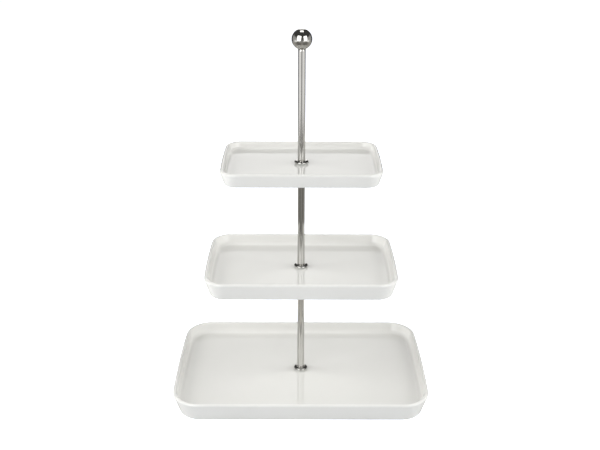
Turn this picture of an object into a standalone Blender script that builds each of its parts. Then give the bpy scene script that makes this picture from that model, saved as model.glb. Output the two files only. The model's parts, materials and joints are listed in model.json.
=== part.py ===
"""Three-tier serving stand: glazed porcelain trays clamped on a screwed-together chrome column.

Metres, +Z up. The origin is on the column's axis, on the surface that the stand rests on. The long side
of the trays runs along X. The column is three rods joined by threaded studs; each tray sits between a
flanged collar above and a steel washer below, with a soft gasket against the glaze on each side.
"""

import math

import bmesh
import bpy
import numpy as np

MM = 0.001

# Fits
GAP = 0.3 * MM  # between two pieces that touch
GASKET_THICKNESS = 0.8 * MM
UNDER_WASHER_THICKNESS = 1.2 * MM
COLLAR_HEIGHT = 2.4 * MM
STACK_ABOVE = 3 * GAP + GASKET_THICKNESS + COLLAR_HEIGHT  # tray floor to the end of the rod above
STACK_BELOW = 3 * GAP + GASKET_THICKNESS + UNDER_WASHER_THICKNESS  # tray underside to what clamps it

# Column
ROD_RADIUS = 4.0 * MM
ROD_CHAMFER = 0.4 * MM
BALL_RADIUS = 10.7 * MM
BALL_CENTRE = 401.0 * MM

# M5 thread, drawn as a plain cylinder
THREAD_RADIUS = 2.5 * MM
TAPPED_RADIUS = 2.6 * MM
CLEARANCE_RADIUS = 2.8 * MM
TAPPED_DEPTH = 12.0 * MM
STUD_ENGAGEMENT = 10.0 * MM
BALL_ENGAGEMENT = 9.0 * MM
BALL_TAPPED_DEPTH = 10.5 * MM
BASE_SCREW_ENGAGEMENT = 9.0 * MM
THREAD_CHAMFER = 0.5 * MM

# Round hardware
COLLAR_RADIUS = 7.7 * MM
GASKET_RADIUS = 6.8 * MM
GASKET_HOLE_RADIUS = 3.1 * MM
UNDER_WASHER_RADIUS = 8.0 * MM
SCREW_HEAD_RADIUS = 6.0 * MM
SCREW_HEAD_HEIGHT = 2.2 * MM
SOCKET_ACROSS_FLATS = 3.0 * MM
SOCKET_DEPTH = 1.4 * MM

# Trays: outer size at the rim, plan corner radius, rim height above the origin, height of the wall,
# depth of the recess, thickness of the floor
TRAYS = {
    "bottom": dict(width=287 * MM, depth=190 * MM, corner=30 * MM, rim=24.0 * MM,
                   height=24.0 * MM, recess=11.7 * MM, floor=6.0 * MM),
    "middle": dict(width=211 * MM, depth=141 * MM, corner=22 * MM, rim=156.4 * MM,
                   height=21.0 * MM, recess=11.2 * MM, floor=5.2 * MM),
    "top": dict(width=170.5 * MM, depth=119 * MM, corner=17 * MM, rim=275.0 * MM,
                height=16.0 * MM, recess=7.2 * MM, floor=4.8 * MM),
}
TRAY_HOLE_RADIUS = 5.0 * MM
RIM_RADIUS = 2.2 * MM  # half the thickness of the wall at the rim
FLARE = 0.33  # how far the wall leans in, for each unit that it comes down
HEEL_RADIUS = 3.0 * MM
FOOT_WIDTH = 3.5 * MM
INNER_FILLET = 6.0 * MM
END_BOW = 0.018  # the short sides bulge by this part of half the width

# Resolution
ROUND_SEGMENTS = 32
BALL_SEGMENTS = 40
CORNER_STEPS = 8
LONG_SIDE_STEPS = 6
SHORT_SIDE_STEPS = 6
ARC_STEPS = 4

MATERIALS = {
    "porcelain": dict(colour=(0.80, 0.80, 0.77), roughness=0.12, metallic=0.0),
    "chrome": dict(colour=(0.72, 0.72, 0.71), roughness=0.05, metallic=1.0),
    "steel": dict(colour=(0.55, 0.55, 0.54), roughness=0.30, metallic=1.0),
    "silicone": dict(colour=(0.78, 0.79, 0.77), roughness=0.45, metallic=0.0),
}


def clear_scene():
    for obj in list(bpy.data.objects):
        bpy.data.objects.remove(obj, do_unlink=True)


def new_collection(name):
    collection = bpy.data.collections.new(name)
    bpy.context.scene.collection.children.link(collection)
    return collection


def principled(name, colour, roughness, metallic):
    material = bpy.data.materials.new(name)
    material.use_nodes = True
    shader = material.node_tree.nodes["Principled BSDF"]
    shader.inputs["Base Color"].default_value = (*colour, 1.0)
    shader.inputs["Roughness"].default_value = roughness
    shader.inputs["Metallic"].default_value = metallic
    material.diffuse_color = (*colour, 1.0)
    return material


def add_object(name, mesh, collection, finish):
    """Links the mesh as a named object with its own material."""
    obj = bpy.data.objects.new(name, mesh)
    collection.objects.link(obj)
    mesh.materials.append(principled(name, **MATERIALS[finish]))
    return obj


def arc(centre_x, centre_z, radius, start, end, steps=ARC_STEPS):
    """Points (x, z) on an arc from one angle to another, in degrees."""
    angles = np.radians(np.linspace(start, end, steps + 1))
    return [(centre_x + radius * math.cos(a), centre_z + radius * math.sin(a)) for a in angles]


# ---------------------------------------------------------------- turned pieces


def turned(name, profile, collection, finish, ring=False, segments=ROUND_SEGMENTS):
    """A turned piece: an (x, z) profile that runs down its outer side, swept round Z by a Screw modifier."""
    mesh = bpy.data.meshes.new(name)
    last = len(profile) - 1
    edges = [(i, i + 1) for i in range(last)]
    if ring:
        edges.append((last, 0))
    mesh.from_pydata([(x, 0.0, z) for x, z in profile], edges, [])
    obj = add_object(name, mesh, collection, finish)
    screw = obj.modifiers.new("Turn", "SCREW")
    screw.axis = "Z"
    screw.steps = segments
    screw.render_steps = segments
    screw.use_merge_vertices = True
    screw.merge_threshold = 0.00001
    screw.use_smooth_shade = True
    return obj


def washer(name, hole, radius, bottom, thickness, edge, collection, finish):
    """A flat ring with its outer corners broken."""
    top = bottom + thickness
    profile = [
        (hole, top),
        (radius - edge, top),
        (radius, top - edge),
        (radius, bottom + edge),
        (radius - edge, bottom),
        (hole, bottom),
    ]
    return turned(name, profile, collection, finish, ring=True)


def collar(name, bottom, collection):
    """A domed flange washer: a flat seat for the rod, a curved shoulder, and a short upright edge."""
    seat_radius = ROD_RADIUS + 0.3 * MM
    edge_height = 0.8 * MM
    top = bottom + COLLAR_HEIGHT
    rise = COLLAR_HEIGHT - edge_height
    reach = COLLAR_RADIUS - seat_radius
    angles = np.radians(np.linspace(90, 0, 6))
    shoulder = [
        (seat_radius + reach * math.cos(a), bottom + edge_height + rise * math.sin(a)) for a in angles
    ]
    profile = [(CLEARANCE_RADIUS, top), *shoulder, (COLLAR_RADIUS, bottom), (CLEARANCE_RADIUS, bottom)]
    return turned(name, profile, collection, "chrome", ring=True)


def rod(name, bottom, top, collection):
    """A round rod with a tapped blind hole in each end."""
    inner = ROD_RADIUS - ROD_CHAMFER
    profile = [
        (0.0, top - TAPPED_DEPTH),
        (TAPPED_RADIUS, top - TAPPED_DEPTH),
        (TAPPED_RADIUS, top),
        (inner, top),
        (ROD_RADIUS, top - ROD_CHAMFER),
        (ROD_RADIUS, bottom + ROD_CHAMFER),
        (inner, bottom),
        (TAPPED_RADIUS, bottom),
        (TAPPED_RADIUS, bottom + TAPPED_DEPTH),
        (0.0, bottom + TAPPED_DEPTH),
    ]
    return turned(name, profile, collection, "chrome")


def stud(name, bottom, top, collection):
    """A length of threaded rod with chamfered ends."""
    inner = THREAD_RADIUS - THREAD_CHAMFER
    profile = [
        (0.0, top),
        (inner, top),
        (THREAD_RADIUS, top - THREAD_CHAMFER),
        (THREAD_RADIUS, bottom + THREAD_CHAMFER),
        (inner, bottom),
        (0.0, bottom),
    ]
    return turned(name, profile, collection, "steel")


def ball_seat():
    """Height of the small flat where the ball rests on the rod."""
    return BALL_CENTRE - math.sqrt(BALL_RADIUS**2 - ROD_RADIUS**2)


def ball(name, collection):
    """A sphere with a flat as wide as the rod, and a tapped blind hole from it."""
    seat = ball_seat()
    last = math.degrees(math.asin((seat - BALL_CENTRE) / BALL_RADIUS))
    outside = arc(0.0, BALL_CENTRE, BALL_RADIUS, 90.0, last, steps=18)
    outside[0] = (0.0, BALL_CENTRE + BALL_RADIUS)
    profile = [
        *outside,
        (TAPPED_RADIUS, seat),
        (TAPPED_RADIUS, seat + BALL_TAPPED_DEPTH),
        (0.0, seat + BALL_TAPPED_DEPTH),
    ]
    return turned(name, profile, collection, "chrome", segments=BALL_SEGMENTS)


def base_screw(name, head_top, shank_top, collection, cutters):
    """A low-head screw that points up, with a hexagonal socket in its underside."""
    head_bottom = head_top - SCREW_HEAD_HEIGHT
    inner = THREAD_RADIUS - THREAD_CHAMFER
    edge = 0.6 * MM
    profile = [
        (0.0, shank_top),
        (inner, shank_top),
        (THREAD_RADIUS, shank_top - THREAD_CHAMFER),
        (THREAD_RADIUS, head_top),
        (SCREW_HEAD_RADIUS - 0.2 * MM, head_top),
        *arc(SCREW_HEAD_RADIUS - edge, head_bottom + edge, edge, 0, -90),
        (0.0, head_bottom),
    ]
    screw = turned(name, profile, collection, "steel")
    mesh = bpy.data.meshes.new(name + "_socket")
    cutter = bmesh.new()
    radius = SOCKET_ACROSS_FLATS / 2 / math.cos(math.radians(30))
    bmesh.ops.create_cone(cutter, cap_ends=True, segments=6, radius1=radius, radius2=radius,
                          depth=2 * SOCKET_DEPTH)
    cutter.to_mesh(mesh)
    cutter.free()
    socket = bpy.data.objects.new(name + "_socket", mesh)
    cutters.objects.link(socket)
    socket.location = (0.0, 0.0, head_bottom)
    socket.hide_render = True
    socket.display_type = "WIRE"
    cut = screw.modifiers.new("Socket", "BOOLEAN")
    cut.operation = "DIFFERENCE"
    cut.solver = "EXACT"
    cut.object = socket
    return screw


# ---------------------------------------------------------------- trays


def side(start, end, steps):
    """Points between two corners of an outline, ends left out."""
    return [start + (end - start) * i / steps for i in range(1, steps)]


def ring_points():
    """How many points every outline of a tray has."""
    return 4 * (CORNER_STEPS + 1) + 2 * (LONG_SIDE_STEPS - 1) + 2 * (SHORT_SIDE_STEPS - 1)


def tray_outline(width, depth, corner, inset):
    """Plan outline (N, 2): a rectangle with rounded corners whose short sides bulge a little.

    x shrinks by END_BOW times the square of the distance from the long axis, as a part of half the depth.
    """
    half_x = width / 2 - inset
    half_y = depth / 2 - inset
    radius = max(corner - inset, 4.0 * MM)
    points = []
    for quarter, (sx, sy) in enumerate([(1, 1), (-1, 1), (-1, -1), (1, -1)]):
        centre = np.array([sx * (half_x - radius), sy * (half_y - radius)])
        angles = np.radians(np.linspace(0, 90, CORNER_STEPS + 1) + 90 * quarter)
        bend = [centre + radius * np.array([math.cos(a), math.sin(a)]) for a in angles]
        if points:
            points += side(points[-1], bend[0], LONG_SIDE_STEPS if quarter % 2 else SHORT_SIDE_STEPS)
        points += bend
    points += side(points[-1], points[0], SHORT_SIDE_STEPS)
    outline = np.array(points)
    outline[:, 0] *= 1 - END_BOW * (2 * outline[:, 1] / depth) ** 2
    return outline


def tray_section(height, recess, floor):
    """Half section of a tray, as (inset from the rim's outside, height above the foot).

    It runs from the floor inside, up the wall, over the round rim, down the outside and round the heel
    to the foot ring, then up to the underside of the floor.
    """
    floor_top = height - recess
    lean = math.atan(FLARE)
    across, along = math.cos(lean), math.sin(lean)
    rim_centre = np.array([RIM_RADIUS, height - RIM_RADIUS])
    inner_tangent = rim_centre + RIM_RADIUS * np.array([across, along])
    outer_tangent = rim_centre - RIM_RADIUS * np.array([across, along])
    fillet = min(INNER_FILLET, 0.6 * recess)
    fillet_level = floor_top + fillet
    wall_foot = inner_tangent[0] + FLARE * (inner_tangent[1] - fillet_level + fillet * along)
    fillet_inset = wall_foot + fillet * across
    heel_start = HEEL_RADIUS * (1 - along)
    heel_inset = outer_tangent[0] + FLARE * (outer_tangent[1] - heel_start) + HEEL_RADIUS * across
    lean_degrees = math.degrees(lean)
    foot_inner = heel_inset + FOOT_WIDTH
    return [
        *arc(fillet_inset, fillet_level, fillet, 270, 180 + lean_degrees),
        *arc(*rim_centre, RIM_RADIUS, lean_degrees, 180 + lean_degrees, steps=6),
        *arc(heel_inset, HEEL_RADIUS, HEEL_RADIUS, 180 + lean_degrees, 270),
        (foot_inner, 0.0),
        (foot_inner + FLARE * (floor_top - floor), floor_top - floor),
    ]


def tray(name, size, collection):
    """A tray as a loft: round hole, rounded rectangles over the rim and under the foot, round hole again."""
    foot = size["rim"] - size["height"]
    section = tray_section(size["height"], size["recess"], size["floor"])
    outline = [size["width"], size["depth"], size["corner"]]
    rings = [
        np.column_stack([tray_outline(*outline, inset), np.full(ring_points(), foot + level)])
        for inset, level in section
    ]
    angles = np.arctan2(rings[0][:, 1], rings[0][:, 0])
    hole = TRAY_HOLE_RADIUS * np.column_stack([np.cos(angles), np.sin(angles)])
    for index, ring in ((0, rings[0]), (len(rings) + 1, rings[-1])):
        rings.insert(index, np.column_stack([hole, ring[:, 2]]))
    count = ring_points()
    faces = []
    for i in range(len(rings)):
        this, following = i * count, (i + 1) % len(rings) * count
        for k in range(count):
            after = (k + 1) % count
            faces.append((this + k, following + k, following + after, this + after))
    mesh = bpy.data.meshes.new(name)
    mesh.from_pydata(np.concatenate(rings).tolist(), [], faces)
    obj = add_object(name, mesh, collection, "porcelain")
    mesh.shade_smooth()
    mesh.set_sharp_from_angle(angle=math.radians(50))
    return obj


def floor_top(size):
    return size["rim"] - size["recess"]


def underside(size):
    return floor_top(size) - size["floor"]


# ---------------------------------------------------------------- assembly


def clamp_above(level, size, collection):
    """The gasket and the collar on a tray's floor."""
    gasket_bottom = floor_top(size) + GAP
    collar_bottom = gasket_bottom + GASKET_THICKNESS + GAP
    washer(f"{level}_upper_gasket", GASKET_HOLE_RADIUS, GASKET_RADIUS, gasket_bottom,
           GASKET_THICKNESS, 0.2 * MM, collection, "silicone")
    collar(f"{level}_collar", collar_bottom, collection)


def clamp_below(level, size, collection):
    """The gasket and the steel washer under a tray."""
    gasket_bottom = underside(size) - GAP - GASKET_THICKNESS
    washer_bottom = gasket_bottom - GAP - UNDER_WASHER_THICKNESS
    washer(f"{level}_lower_gasket", GASKET_HOLE_RADIUS, GASKET_RADIUS, gasket_bottom,
           GASKET_THICKNESS, 0.2 * MM, collection, "silicone")
    washer(f"{level}_under_washer", CLEARANCE_RADIUS, UNDER_WASHER_RADIUS, washer_bottom,
           UNDER_WASHER_THICKNESS, 0.25 * MM, collection, "steel")


def main():
    clear_scene()
    parts = new_collection("tiered_cake_stand")
    cutters = new_collection("cutters")
    for level, size in TRAYS.items():
        tray(f"{level}_tray", size, parts)
        clamp_above(level, size, parts)
        clamp_below(level, size, parts)
    bottom, middle, top = TRAYS.values()
    lower_start = floor_top(bottom) + STACK_ABOVE
    middle_start = floor_top(middle) + STACK_ABOVE
    upper_start = floor_top(top) + STACK_ABOVE
    lower_end = underside(middle) - STACK_BELOW
    middle_end = underside(top) - STACK_BELOW
    upper_end = ball_seat() - GAP
    rod("lower_rod", lower_start, lower_end, parts)
    rod("middle_rod", middle_start, middle_end, parts)
    rod("upper_rod", upper_start, upper_end, parts)
    stud("lower_stud", lower_end - STUD_ENGAGEMENT, middle_start + STUD_ENGAGEMENT, parts)
    stud("upper_stud", middle_end - STUD_ENGAGEMENT, upper_start + STUD_ENGAGEMENT, parts)
    stud("finial_stud", upper_end - STUD_ENGAGEMENT, ball_seat() + BALL_ENGAGEMENT, parts)
    ball("ball_finial", parts)
    base_screw("base_screw", underside(bottom) - STACK_BELOW, lower_start + BASE_SCREW_ENGAGEMENT,
               parts, cutters)


main()
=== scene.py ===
"""Finished looks of the tiered cake stand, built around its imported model.

Each piece of the stand gets its fine surface here: glazed trays with pooled corners and a bare foot ring,
drawn and polished rods, a mirror ball, domed collars, soft gaskets and threaded steel fastenings.
Metres, +Z up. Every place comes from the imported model, so nothing here moves or resizes a part.
"""

import json
import math

import bpy
import numpy as np
from bpy.props import FloatProperty, FloatVectorProperty, PointerProperty
from mathutils import Euler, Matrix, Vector


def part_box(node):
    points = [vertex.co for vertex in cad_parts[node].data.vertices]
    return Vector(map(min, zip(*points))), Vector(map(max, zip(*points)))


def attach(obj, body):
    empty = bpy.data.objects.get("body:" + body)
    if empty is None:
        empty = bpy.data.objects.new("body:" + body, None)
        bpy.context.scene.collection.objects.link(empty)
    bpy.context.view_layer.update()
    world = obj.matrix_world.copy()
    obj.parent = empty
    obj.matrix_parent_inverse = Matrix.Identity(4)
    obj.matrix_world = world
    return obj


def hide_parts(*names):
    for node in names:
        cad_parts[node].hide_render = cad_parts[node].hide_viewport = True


bl_info = {
    "name": "Tiered cake stand",
    "version": (1, 0, 0),
    "blender": (4, 5, 0),
    "location": "3D View > Sidebar > Cake stand",
    "description": "Glazed trays, chrome column and fastenings of a three-tier cake stand",
    "category": "Object",
}

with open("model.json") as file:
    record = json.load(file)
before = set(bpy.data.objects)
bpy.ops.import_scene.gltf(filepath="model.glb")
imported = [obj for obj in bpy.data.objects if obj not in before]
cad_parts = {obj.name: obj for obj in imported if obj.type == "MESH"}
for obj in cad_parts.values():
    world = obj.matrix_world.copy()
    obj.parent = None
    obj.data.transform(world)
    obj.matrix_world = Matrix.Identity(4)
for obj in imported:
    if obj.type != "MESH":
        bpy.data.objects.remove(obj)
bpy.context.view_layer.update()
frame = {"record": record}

MM = 0.001
LEVELS = ("bottom", "middle", "top")
RODS = ("lower_rod", "middle_rod", "upper_rod")
STUDS = ("lower_stud", "upper_stud", "finial_stud")
GAP = 0.3 * MM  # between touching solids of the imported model
TOUCH = GAP - 0.01 * MM  # how far a soft or turned face grows to meet its neighbour
SHARP_ANGLE = 38  # degrees between faces from which an edge looks sharp
COLLAR_START = 48  # degrees round its ellipse at which a collar's shoulder starts
FLOOR_SIDE = 14.0  # metres
TABLE_SIDE = 1.8
BALL_AIM = Vector((0.0, 0.0, 0.4))
STAND_AIM = Vector((0.0, 0.0, 0.25))
# Each light's name, bearing and rise in degrees, distance, size in metres and radiance. The first group
# is seen only in reflections. The second lights surfaces and is never mirrored.
MIRRORED_LIGHTS = (
    ("left_softbox", -33, 18, 1.6, (1.25, 1.45), 3.4),
    ("right_softbox", 42, 17, 1.6, (1.05, 1.3), 3.2),
    ("top_softbox", 180, 76, 1.4, (0.62, 0.62), 2.4),
)
FILL_LIGHTS = (
    ("left_fill", -38, 28, 1.8, (1.3, 2.1), 2.4),
    ("right_fill", 44, 24, 1.8, (1.3, 1.8), 1.65),
    ("front_fill", 0, 18, 1.8, (1.3, 1.3), 0.7),
    ("left_side_fill", -90, 15, 1.8, (1.3, 1.3), 5.6),
    ("right_side_fill", 90, 15, 1.8, (1.3, 1.3), 5.6),
    ("top_fill", 0, 80, 1.8, (1.3, 1.3), 0.65),
)
BODY_OF = {
    node: body
    for body, nodes in frame["record"]["behaviour"]["bodies"].items()
    for node in nodes
}


# ---------------------------------------------------------------- meshes


def arc(centre, radius, start, end, steps):
    """Points (steps + 1, 2) on a circle's arc: centre plus radius times (cos, sin), angles in degrees."""
    angle = np.radians(np.linspace(start, end, steps + 1))
    return np.asarray(centre) + radius * np.column_stack([np.cos(angle), np.sin(angle)])


def straight(start, end, steps):
    """Points between two ends, the ends left out: start plus t times the way to the end."""
    t = np.arange(1, steps)[:, None] / steps
    return np.asarray(start) + t * (np.asarray(end) - np.asarray(start))


def outward(points, faces):
    """The same faces, turned round if the volume they enclose comes out negative.

    The volume is a sixth of the sum of each triangle's corner . (corner x corner).
    """
    total = 0.0
    for corners in (faces[:, [0, 1, 2]], faces[:, [0, 2, 3]]):
        a, b, c = (points[corners[:, k]] for k in range(3))
        total += np.einsum("ij,ij->", a, np.cross(b, c))
    return faces if total > 0 else faces[:, ::-1]


def lofted(name, grid, finish, loop=False, attributes=None):
    """A closed mesh from a (rows, columns, 3) grid of points; the columns always run right round.

    With loop the last row joins the first one. Without it the first and last rows are single points
    on the axis, kept once each, and the faces that meet them are triangles.
    """
    rows, columns = grid.shape[:2]
    here = np.arange(rows * columns).reshape(rows, columns)
    if not loop:
        here[0] = here[0, 0]
        here[-1] = here[-1, 0]
    below = np.roll(here, -1, axis=0) if loop else here[1:]
    above = here if loop else here[:-1]
    quads = np.stack([above, below, np.roll(below, -1, axis=1), np.roll(above, -1, axis=1)], axis=-1)
    quads = outward(grid.reshape(-1, 3), quads.reshape(-1, 4))
    used, index = np.unique(quads, return_inverse=True)
    quads = index.reshape(quads.shape)
    faces = [[k for i, k in enumerate(face) if k != face[i - 1]] for face in quads.tolist()]
    mesh = bpy.data.meshes.new(name)
    mesh.from_pydata(grid.reshape(-1, 3)[used].tolist(), [], faces)
    mesh.shade_smooth()
    mesh.set_sharp_from_angle(angle=math.radians(SHARP_ANGLE))
    for key, values in (attributes or {}).items():
        layer = mesh.attributes.new(key, "FLOAT", "POINT")
        layer.data.foreach_set("value", values.reshape(-1)[used].astype(np.float32))
    mesh.materials.append(finish)
    obj = bpy.data.objects.new(name, mesh)
    bpy.context.scene.collection.objects.link(obj)
    return obj


def settle(obj, node):
    """The piece stands for its node: it rides on the same body, and the node is hidden."""
    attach(obj, BODY_OF[node])
    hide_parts(node)


def thread_wave(phase):
    """A trapezoid wave from 0 on the crest to 1 in the root, once for each unit of phase.

    It is the distance from the crest's middle, stretched so that an eighth of the pitch is flat at the
    crest and a quarter at the root.
    """
    distance = np.abs(phase - np.round(phase))
    return np.clip((distance - 1 / 16) / (3 / 8 - 1 / 16), 0.0, 1.0)


def turned(name, profile, finish, columns=64, loop=False, thread=None, hexagon=None, attributes=None):
    """A turned piece: the profile (radius, height) swept round the Z axis.

    Radius at each angle is the profile's radius, plus thread times the thread wave at phase
    height / pitch - angle / full turn, and times 1 / cos(angle from the nearest flat's middle) where
    hexagon is 1.
    """
    profile = np.asarray(profile, float)
    angle = 2 * np.pi * np.arange(columns) / columns
    radius = np.repeat(profile[:, :1], columns, axis=1)
    height = np.repeat(profile[:, 1:], columns, axis=1)
    if thread is not None:
        pitch = bpy.context.scene.cake_stand.hardware.thread_pitch
        phase = height / pitch - angle / (2 * np.pi)
        radius = radius + np.asarray(thread)[:, None] * thread_wave(phase)
    if hexagon is not None:
        turn = np.radians(60)
        to_flat = 1 / np.cos(angle - turn * np.round(angle / turn))
        radius = radius * (1 + np.asarray(hexagon)[:, None] * (to_flat - 1))
    grid = np.stack([radius * np.cos(angle), radius * np.sin(angle), height], axis=-1)
    spread = {key: np.repeat(np.asarray(v, float)[:, None], columns, axis=1)
              for key, v in (attributes or {}).items()}
    return lofted(name, grid, finish, loop, spread)


def rounded(corners, radii, steps=5):
    """A profile through the corners with each one rounded to its radius; the first and last stay.

    At a corner the arc starts and ends at radius times tan(half the turn) from it.
    """
    corners = np.asarray(corners, float)
    path = [corners[:1]]
    for before, corner, after, radius in zip(corners, corners[1:], corners[2:], radii):
        if radius == 0:
            path.append(corner[None])
            continue
        way_in = (corner - before) / np.linalg.norm(corner - before)
        way_out = (after - corner) / np.linalg.norm(after - corner)
        turn = math.atan2(way_in[0] * way_out[1] - way_in[1] * way_out[0], way_in @ way_out)
        back = radius * math.tan(abs(turn) / 2)
        side = math.copysign(1.0, turn)
        centre = corner - back * way_in + side * radius * np.array([-way_in[1], way_in[0]])
        first = math.degrees(math.atan2(-side * way_in[0], side * way_in[1]))
        path.append(arc(centre, radius, first, first + math.degrees(turn), steps))
    path.append(corners[-1:])
    return np.concatenate(path)


# ---------------------------------------------------------------- node helpers


class Wiring:
    """A short way to add nodes to a tree and join their sockets."""

    def __init__(self, tree):
        self.tree = tree

    def add(self, kind, inputs=None, **settings):
        """Adds a node, sets its properties, and fills each input from a value or another socket."""
        node = self.tree.nodes.new(kind)
        for key, value in settings.items():
            setattr(node, key, value)
        for key, value in (inputs or {}).items():
            if isinstance(value, bpy.types.NodeSocket):
                self.tree.links.new(value, node.inputs[key])
            else:
                node.inputs[key].default_value = value
        return node

    def math(self, operation, a, b=0.0, c=0.0):
        return self.add("ShaderNodeMath", {0: a, 1: b, 2: c}, operation=operation).outputs[0]

    def span(self, value, low, high, to_low=0.0, to_high=1.0):
        """Smooth step of value from low to high onto to_low to to_high."""
        node = self.add("ShaderNodeMapRange", {0: value, 1: low, 2: high, 3: to_low, 4: to_high},
                        interpolation_type="SMOOTHSTEP")
        return node.outputs[0]

    def noise(self, place, scale, detail=3.0, rough=0.5):
        node = self.add("ShaderNodeTexNoise",
                        {"Vector": place, "Scale": scale, "Detail": detail, "Roughness": rough})
        return node.outputs["Fac"]

    def blend(self, amount, first, second):
        """First colour where amount is 0 and second where it is 1; the sockets are the colour ones."""
        return self.add("ShaderNodeMix", {0: amount, 6: first, 7: second}, data_type="RGBA").outputs[2]

    def place(self):
        return self.add("ShaderNodeTexCoord").outputs["Object"]

    def stretched(self, place, scale):
        return self.add("ShaderNodeMapping", {"Vector": place, "Scale": scale}).outputs[0]

    def attribute(self, name):
        return self.add("ShaderNodeAttribute", attribute_name=name).outputs["Fac"]

    def group(self, tree, inputs):
        return self.add("ShaderNodeGroup", inputs, node_tree=tree)


def effect(name, inputs, outputs):
    """A new shader node group with named sockets, and its wiring, input and output nodes."""
    tree = bpy.data.node_groups.new(name, "ShaderNodeTree")
    for key, (kind, value) in inputs.items():
        socket = tree.interface.new_socket(key, in_out="INPUT", socket_type=f"NodeSocket{kind}")
        if value is not None:
            socket.default_value = value
    for key, kind in outputs.items():
        tree.interface.new_socket(key, in_out="OUTPUT", socket_type=f"NodeSocket{kind}")
    wiring = Wiring(tree)
    return tree, wiring, wiring.add("NodeGroupInput").outputs, wiring.add("NodeGroupOutput").inputs


def wipe_marks():
    """Haze left by a cloth and by fingers: two sizes of stretched noise cut to soft patches."""
    if "Wipe marks" in bpy.data.node_groups:
        return bpy.data.node_groups["Wipe marks"]
    tree, w, given, made = effect(
        "Wipe marks",
        {"Place": ("Vector", None), "Size": ("Float", 60.0), "Polished": ("Float", 0.05),
         "Hazed": ("Float", 0.15)},
        {"Roughness": "Float", "Mask": "Float"},
    )
    broad = w.noise(given["Place"], given["Size"], 3.0, 0.55)
    drawn_out = w.stretched(given["Place"], (1.0, 2.6, 1.0))
    fine = w.noise(drawn_out, w.math("MULTIPLY", given["Size"], 4.0), 5.0, 0.6)
    mask = w.math("MULTIPLY", w.span(broad, 0.48, 0.72), w.span(fine, 0.35, 0.7))
    spread = w.math("SUBTRACT", given["Hazed"], given["Polished"])
    w.tree.links.new(w.math("MULTIPLY_ADD", mask, spread, given["Polished"]), made["Roughness"])
    w.tree.links.new(mask, made["Mask"])
    return tree


def hairlines():
    """Fine scratches: thin bands of a stretched noise near its middle value, in two directions."""
    if "Hairlines" in bpy.data.node_groups:
        return bpy.data.node_groups["Hairlines"]
    tree, w, given, made = effect(
        "Hairlines",
        {"Place": ("Vector", None), "Size": ("Float", 120.0), "Amount": ("Float", 0.3)},
        {"Height": "Float", "Mask": "Float"},
    )
    lines = []
    for turn, squeeze in ((0.5, (1.0, 9.0, 9.0)), (-0.9, (8.0, 1.0, 8.0))):
        turned_place = w.add("ShaderNodeMapping", {"Vector": given["Place"], "Rotation": (turn, 0.3, turn),
                                                   "Scale": squeeze}).outputs[0]
        band = w.math("ABSOLUTE", w.math("SUBTRACT", w.noise(turned_place, given["Size"], 1.0), 0.5))
        lines.append(w.span(band, 0.012, 0.0))
    both = w.math("MAXIMUM", lines[0], lines[1])
    gate = w.span(w.noise(given["Place"], w.math("MULTIPLY", given["Size"], 0.35), 2.0), 0.5, 0.66)
    mask = w.math("MULTIPLY", w.math("MULTIPLY", both, gate), given["Amount"])
    w.tree.links.new(w.math("SUBTRACT", 1.0, mask), made["Height"])
    w.tree.links.new(mask, made["Mask"])
    return tree


def tone_drift():
    """Slow change between two near colours, as clay, glaze and plating have."""
    if "Tone drift" in bpy.data.node_groups:
        return bpy.data.node_groups["Tone drift"]
    tree, w, given, made = effect(
        "Tone drift",
        {"Place": ("Vector", None), "Size": ("Float", 12.0), "First": ("Color", None),
         "Second": ("Color", None)},
        {"Color": "Color"},
    )
    amount = w.span(w.noise(given["Place"], given["Size"], 4.0, 0.55), 0.3, 0.7)
    w.tree.links.new(w.blend(amount, given["First"], given["Second"]), made["Color"])
    return tree


def resting_dust():
    """Dust that lies on faces that look up: the normal's height times a broken noise."""
    if "Resting dust" in bpy.data.node_groups:
        return bpy.data.node_groups["Resting dust"]
    tree, w, given, made = effect(
        "Resting dust",
        {"Place": ("Vector", None), "Size": ("Float", 400.0), "Amount": ("Float", 0.1)},
        {"Mask": "Float"},
    )
    up = w.add("ShaderNodeSeparateXYZ", {0: w.add("ShaderNodeNewGeometry").outputs["Normal"]}).outputs[2]
    grain = w.span(w.noise(given["Place"], given["Size"], 2.0, 0.7), 0.5, 0.75)
    mask = w.math("MULTIPLY", w.math("MULTIPLY", w.span(up, 0.5, 1.0), grain), given["Amount"])
    w.tree.links.new(mask, made["Mask"])
    return tree


# ---------------------------------------------------------------- finishes


def blank(name):
    """A material with only a Principled BSDF and its output, and the wiring to add the rest."""
    material = bpy.data.materials.new(name)
    material.use_nodes = True
    wiring = Wiring(material.node_tree)
    return material, wiring, material.node_tree.nodes["Principled BSDF"]


def bump(wiring, shader, height, strength, distance):
    node = wiring.add("ShaderNodeBump", {"Strength": strength, "Distance": distance, "Height": height})
    wiring.tree.links.new(node.outputs[0], shader.inputs["Normal"])


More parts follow.
